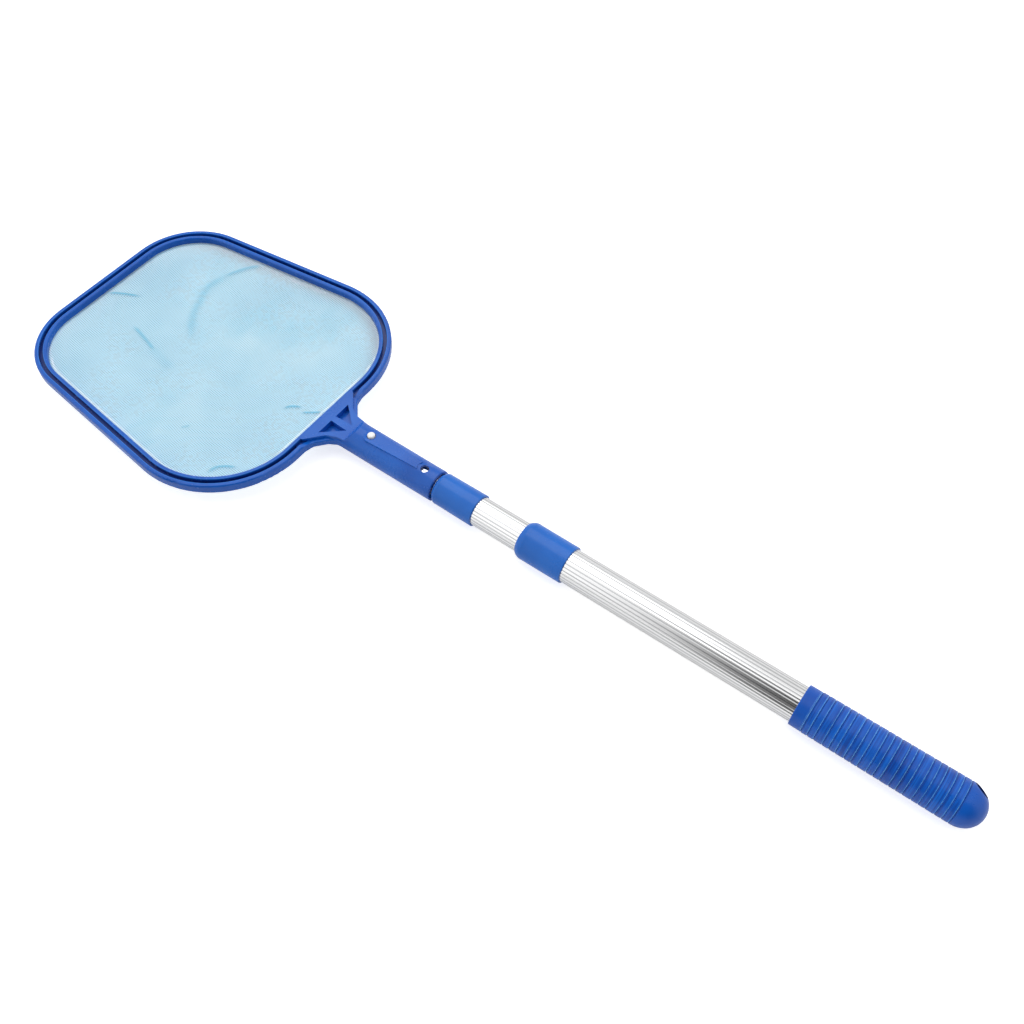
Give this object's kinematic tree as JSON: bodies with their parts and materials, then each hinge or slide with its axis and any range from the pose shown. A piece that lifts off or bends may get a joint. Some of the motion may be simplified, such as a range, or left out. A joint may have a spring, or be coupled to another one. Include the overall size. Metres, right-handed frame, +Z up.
{
  "type": "leaf skimmer net",
  "caption": "Leaf skimmer with a shallow rounded net head, push-fit socket and telescopic twist-lock aluminium pole with a ribbed grip.",
  "frame": {"origin": "under the middle of the whole skimmer, on the surface that the grip lies on", "axes": "+X along the pole towards the net, +Z up and square to the net, Y across the net"},
  "size_m": [0.664, 0.1998, 0.0258],
  "materials": {
    "frame_blue": "smooth moulded",
    "grip_blue": "ribbed moulded",
    "net_blue": "fine woven mesh",
    "tube_aluminium": "fluted, bright anodised",
    "lock_white": "moulded",
    "spring_steel": "bright",
    "button_white": "glossy"
  },
  "bodies": {
    "outer": {"outer_tube": "tube_aluminium", "outer_collar": "frame_blue", "grip": "grip_blue"},
    "middle_lock": {"middle_cam": "lock_white"},
    "middle": {"middle_tube": "tube_aluminium", "middle_collar": "frame_blue", "middle_plug": "lock_white", "middle_washer": "spring_steel", "middle_screw": "spring_steel"},
    "tip_lock": {"tip_cam": "lock_white"},
    "tip": {"tip_tube": "tube_aluminium", "tip_plug": "lock_white", "tip_washer": "spring_steel", "tip_screw": "spring_steel", "button_spring": "spring_steel", "net_frame": "frame_blue", "net_mesh": "net_blue"},
    "button": {"snap_button": "button_white"}
  },
  "joints": [
    {"name": "middle_slide", "type": "slide", "parent": "outer", "child": "middle_lock", "axis": [1, 0, 0], "range_m": [0, 0.225]},
    {"name": "middle_twist", "type": "hinge", "parent": "middle_lock", "child": "middle", "pos_m": [-0.2988, 0, 0.0129], "axis": [1, 0, 0], "range_deg": [-20, 20]},
    {"name": "tip_slide", "type": "slide", "parent": "middle", "child": "tip_lock", "axis": [1, 0, 0], "range_m": [0, 0.25]},
    {"name": "tip_twist", "type": "hinge", "parent": "tip_lock", "child": "tip", "pos_m": [-0.2658, 0, 0.0129], "axis": [1, 0, 0], "range_deg": [-20, 20]},
    {"name": "button_press", "type": "slide", "parent": "tip", "child": "button", "axis": [0, 0, -1], "range_m": [0, 0.0042], "stiffness_N_per_m": 400, "springref_m": -0.004, "deforming": ["button_spring"]}
  ]
}
